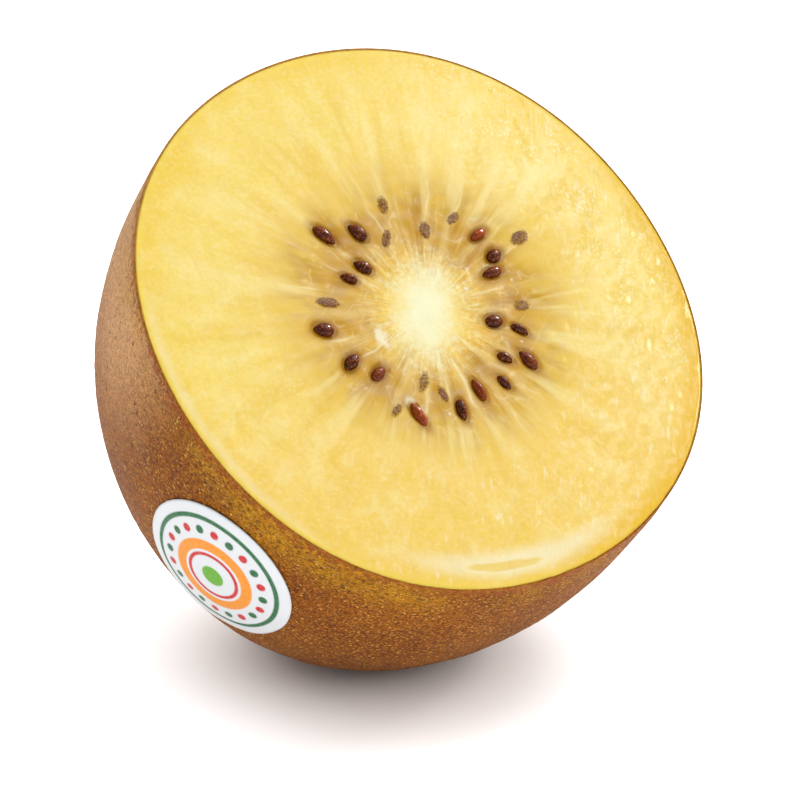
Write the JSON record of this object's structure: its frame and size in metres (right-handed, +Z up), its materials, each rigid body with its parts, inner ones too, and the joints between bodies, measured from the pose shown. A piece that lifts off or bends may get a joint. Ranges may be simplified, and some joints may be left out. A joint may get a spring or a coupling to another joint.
{
  "type": "golden kiwi fruit half",
  "caption": "Half of a golden kiwi fruit, cut across, with yellow flesh, a pale core, dark seeds, thin brown skin and a plain oval label.",
  "frame": {"origin": "middle of the small flat spot that the fruit rests on", "axes": "+Z up. The cut face looks towards -Y and up, 46 degrees from level. +X runs across the cut face, to the right as seen from the front."},
  "size_m": [0.0519, 0.0503, 0.0529],
  "materials": {
    "flesh": "moist fruit flesh, satin to glossy, slightly translucent",
    "skin": "thin dry brown skin, matt, finely flecked",
    "seed": "dark brown, satin, finely pitted",
    "label": "coated paper, satin, printed"
  },
  "bodies": {
    "root": {"kiwi_half": "flesh", "label": "label"}
  },
  "joints": []
}
